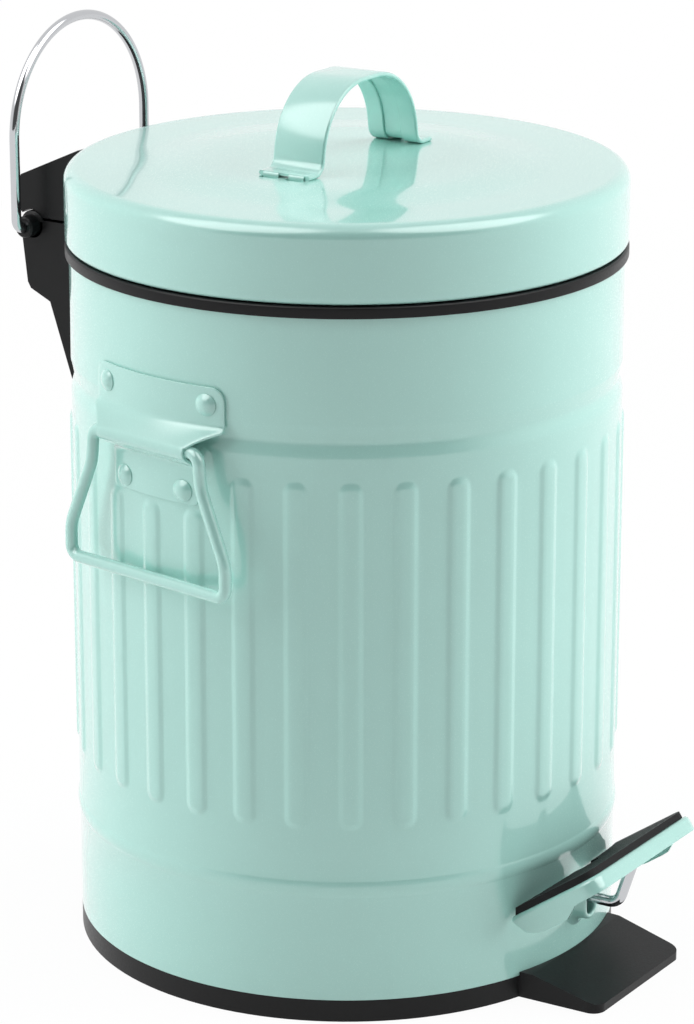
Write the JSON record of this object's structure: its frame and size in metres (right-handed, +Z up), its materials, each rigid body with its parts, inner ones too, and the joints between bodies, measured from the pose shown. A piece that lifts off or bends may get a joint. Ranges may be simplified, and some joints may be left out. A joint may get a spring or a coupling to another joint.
{
  "type": "pedal bin",
  "caption": "Round retro pedal bin with a ribbed steel body, hinged lid with strap handle, drop handles, carry bail, inner bucket and pedal linkage.",
  "frame": {"origin": "on the body's axis, at floor level, on the flat underside of the base", "axes": "+Z up along the body's axis, -Y towards the pedal and foot, +Y towards the hinge, +X to the right of somebody facing the hinge from the pedal side"},
  "size_m": [0.1816, 0.2084, 0.2726],
  "materials": {
    "mint_paint": "gloss",
    "black_plastic": "satin",
    "chrome_wire": "polished",
    "steel": "zinc plated",
    "bucket_plastic": "satin",
    "pad_rubber": "matte"
  },
  "bodies": {
    "bin": {"base_pan": "black_plastic", "body_shell": "mint_paint", "top_rim": "black_plastic", "hinge_housing": "black_plastic", "housing_screws": "steel", "hinge_pin": "steel", "handle_bracket_left": "mint_paint", "handle_bracket_right": "mint_paint", "handle_rivets": "mint_paint", "rocker_pin": "steel", "rod_guides": "black_plastic", "inner_bucket": "bucket_plastic"},
    "lid": {"lid_shell": "mint_paint", "strap_handle": "mint_paint", "hinge_cover": "black_plastic", "lid_clamp_block": "black_plastic", "lid_screws": "steel"},
    "carry_bail": {"carry_bail": "chrome_wire"},
    "side_handle_left": {"side_handle_left": "mint_paint"},
    "side_handle_right": {"side_handle_right": "mint_paint"},
    "pedal": {"pedal_plate": "mint_paint", "pedal_pad": "pad_rubber", "pedal_wire": "chrome_wire", "rocker_arm": "black_plastic"},
    "lift_rod": {"lift_rod": "steel"}
  },
  "joints": [
    {"name": "lid_open", "type": "hinge", "parent": "bin", "child": "lid", "pos_m": [0, 0.0972, 0.2111], "axis": [-1, 0, 0], "range_deg": [0, 75]},
    {"name": "pedal_press", "type": "hinge", "parent": "bin", "child": "pedal", "pos_m": [0, -0.072, 0.018], "axis": [1, 0, 0], "range_deg": [0, 11.2]},
    {"name": "lift_rod_slide", "type": "slide", "parent": "bin", "child": "lift_rod", "axis": [0, 0, 1], "range_m": [0, 0.0291]},
    {"name": "carry_bail_swing", "type": "hinge", "parent": "lid", "child": "carry_bail", "pos_m": [0, 0.0972, 0.2111], "axis": [-1, 0, 0], "range_deg": [0, 100]},
    {"name": "side_handle_left_swing", "type": "hinge", "parent": "bin", "child": "side_handle_left", "pos_m": [-0.0842, 0.01334, 0.1709], "axis": [0.1564, 0.9877, 0], "range_deg": [0, 150]},
    {"name": "side_handle_right_swing", "type": "hinge", "parent": "bin", "child": "side_handle_right", "pos_m": [0.0842, 0.01334, 0.1709], "axis": [0.1564, -0.9877, 0], "range_deg": [0, 150]}
  ],
  "couplings": [
    {"joint": "pedal_press", "follows": "lid_open", "ratio": 0.14667},
    {"joint": "lift_rod_slide", "follows": "lid_open", "m_per_rad": 0.021903}
  ]
}
